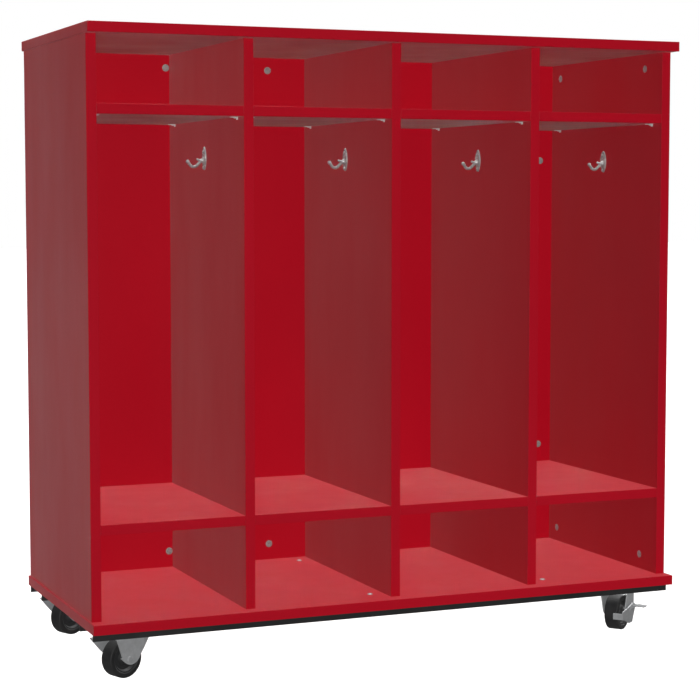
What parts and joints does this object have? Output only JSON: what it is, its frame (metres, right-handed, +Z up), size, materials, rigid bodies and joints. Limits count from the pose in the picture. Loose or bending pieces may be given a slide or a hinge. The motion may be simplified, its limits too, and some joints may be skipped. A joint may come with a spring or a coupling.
{
  "type": "school locker",
  "caption": "Mobile red coat and bag locker for a classroom: open bays side by side with upper and lower shelves, a coat hook in each bay, and braked swivel casters.",
  "frame": {"origin": "on the floor under the middle of the top panel, which is also the middle of the overall box", "axes": "+Z up, -Y out of the open front, +X to the right of somebody facing the front"},
  "size_m": [1.2192, 0.508, 1.198],
  "materials": {
    "laminate_flat": "red melamine laminate on particleboard, satin",
    "laminate_upright": "red melamine laminate on particleboard, satin",
    "laminate_back": "red melamine laminate on particleboard, satin",
    "laminate_shelf": "red melamine laminate on particleboard, satin",
    "dowel_beech": "plain beech",
    "shelf_pin_steel": "bright zinc plate",
    "cam_zinc": "die-cast zinc, dull",
    "hook_chrome": "bright plated",
    "hook_screw_steel": "bright plated",
    "bolt_steel": "zinc plate",
    "screw_steel": "zinc plate",
    "channel_black": "black powder coat, satin",
    "caster_plate_steel": "zinc plate, dull",
    "fork_steel": "zinc plate, dull",
    "axle_steel": "zinc plate",
    "hub_plastic": "black moulded polypropylene",
    "tread_rubber": "black moulded rubber",
    "lever_steel": "zinc plate, dull"
  },
  "bodies": {
    "cabinet": {"back_panel": "laminate_back", "back_panel_screws": "screw_steel", "base_panel": "laminate_flat", "cam_bolts": "screw_steel", "cam_locks": "cam_zinc", "caster_plate_front_left": "caster_plate_steel", "caster_plate_front_right": "caster_plate_steel", "caster_plate_rear_left": "caster_plate_steel", "caster_plate_rear_right": "caster_plate_steel", "caster_screws": "screw_steel", "channel_bolts": "bolt_steel", "channel_nuts": "screw_steel", "channel_screws": "screw_steel", "coat_hook_1": "hook_chrome", "coat_hook_2": "hook_chrome", "coat_hook_3": "hook_chrome", "coat_hook_4": "hook_chrome", "front_channel": "channel_black", "hook_screws": "hook_screw_steel", "kingpins": "screw_steel", "left_side_panel": "laminate_upright", "lower_shelf_1": "laminate_shelf", "lower_shelf_2": "laminate_shelf", "lower_shelf_3": "laminate_shelf", "lower_shelf_4": "laminate_shelf", "lower_shelf_pins": "shelf_pin_steel", "panel_dowels": "dowel_beech", "partition_1": "laminate_upright", "partition_2": "laminate_upright", "partition_3": "laminate_upright", "rear_channel": "channel_black", "right_side_panel": "laminate_upright", "swivel_balls": "screw_steel", "top_panel": "laminate_flat", "upper_shelf_1": "laminate_shelf", "upper_shelf_2": "laminate_shelf", "upper_shelf_3": "laminate_shelf", "upper_shelf_4": "laminate_shelf", "upper_shelf_pins": "shelf_pin_steel"},
    "fork_front_left": {"fork_front_left": "fork_steel", "axle_front_left": "axle_steel"},
    "wheel_front_left": {"wheel_hub_front_left": "hub_plastic", "wheel_tread_front_left": "tread_rubber"},
    "fork_front_right": {"fork_front_right": "fork_steel", "axle_front_right": "axle_steel", "brake_pin_front_right": "axle_steel"},
    "wheel_front_right": {"wheel_hub_front_right": "hub_plastic", "wheel_tread_front_right": "tread_rubber"},
    "brake_front_right": {"brake_lever_front_right": "lever_steel"},
    "fork_rear_left": {"fork_rear_left": "fork_steel", "axle_rear_left": "axle_steel"},
    "wheel_rear_left": {"wheel_hub_rear_left": "hub_plastic", "wheel_tread_rear_left": "tread_rubber"},
    "fork_rear_right": {"fork_rear_right": "fork_steel", "axle_rear_right": "axle_steel", "brake_pin_rear_right": "axle_steel"},
    "wheel_rear_right": {"wheel_hub_rear_right": "hub_plastic", "wheel_tread_rear_right": "tread_rubber"},
    "brake_rear_right": {"brake_lever_rear_right": "lever_steel"}
  },
  "joints": [
    {"name": "swivel_front_left", "type": "hinge", "parent": "cabinet", "child": "fork_front_left", "pos_m": [-0.526, -0.1875, 0.084], "axis": [0, 0, 1], "continuous": true},
    {"name": "roll_front_left", "type": "hinge", "parent": "fork_front_left", "child": "wheel_front_left", "pos_m": [-0.54083, -0.19349, 0.0365], "axis": [-0.3746, 0.9272, 0], "continuous": true},
    {"name": "swivel_front_right", "type": "hinge", "parent": "cabinet", "child": "fork_front_right", "pos_m": [0.526, -0.1875, 0.084], "axis": [0, 0, 1], "continuous": true},
    {"name": "roll_front_right", "type": "hinge", "parent": "fork_front_right", "child": "wheel_front_right", "pos_m": [0.51339, -0.19735, 0.0365], "axis": [-0.6157, 0.788, 0], "continuous": true},
    {"name": "brake_front_right", "type": "hinge", "parent": "fork_front_right", "child": "brake_front_right", "pos_m": [0.526, -0.1875, 0.0485], "axis": [0.6157, -0.788, 0], "range_deg": [0, 20]},
    {"name": "swivel_rear_left", "type": "hinge", "parent": "cabinet", "child": "fork_rear_left", "pos_m": [-0.526, 0.203, 0.084], "axis": [0, 0, 1], "continuous": true},
    {"name": "roll_rear_left", "type": "hinge", "parent": "fork_rear_left", "child": "wheel_rear_left", "pos_m": [-0.5405, 0.19624, 0.0365], "axis": [-0.4226, 0.9063, 0], "continuous": true},
    {"name": "swivel_rear_right", "type": "hinge", "parent": "cabinet", "child": "fork_rear_right", "pos_m": [0.526, 0.203, 0.084], "axis": [0, 0, 1], "continuous": true},
    {"name": "roll_rear_right", "type": "hinge", "parent": "fork_rear_right", "child": "wheel_rear_right", "pos_m": [0.51274, 0.19405, 0.0365], "axis": [-0.5592, 0.829, 0], "continuous": true},
    {"name": "brake_rear_right", "type": "hinge", "parent": "fork_rear_right", "child": "brake_rear_right", "pos_m": [0.526, 0.203, 0.0485], "axis": [0.5592, -0.829, 0], "range_deg": [0, 20]}
  ]
}
